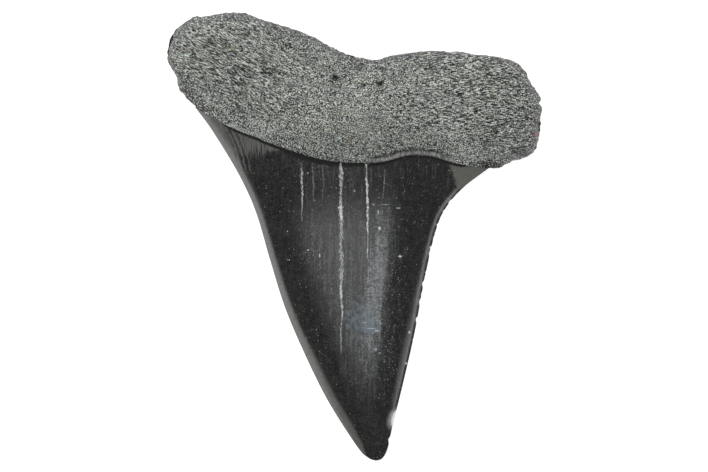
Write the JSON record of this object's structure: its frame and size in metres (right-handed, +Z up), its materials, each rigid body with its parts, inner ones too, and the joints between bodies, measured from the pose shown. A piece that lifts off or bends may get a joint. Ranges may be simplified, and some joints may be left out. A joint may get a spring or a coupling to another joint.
{
  "type": "fossil great white shark tooth",
  "caption": "Fossil shark tooth: a broad bladed crown with smooth cutting edges, and a thick two-lobed root with a shallow notch. It lies on its flat outer face.",
  "frame": {"origin": "centre of the bounding box's bottom face, on the surface that the tooth lies on", "axes": "+Z up, out of the lingual (tongue) face; -Y towards the crown's tip, +Y towards the root; +X to the right as the tooth is seen from above"},
  "size_m": [0.042, 0.0502, 0.0088],
  "materials": {
    "fossil_tooth": "glossy near-black enamel on the crown, rough dark grey bone on the root"
  },
  "bodies": {
    "root": {"tooth": "fossil_tooth"}
  },
  "joints": []
}
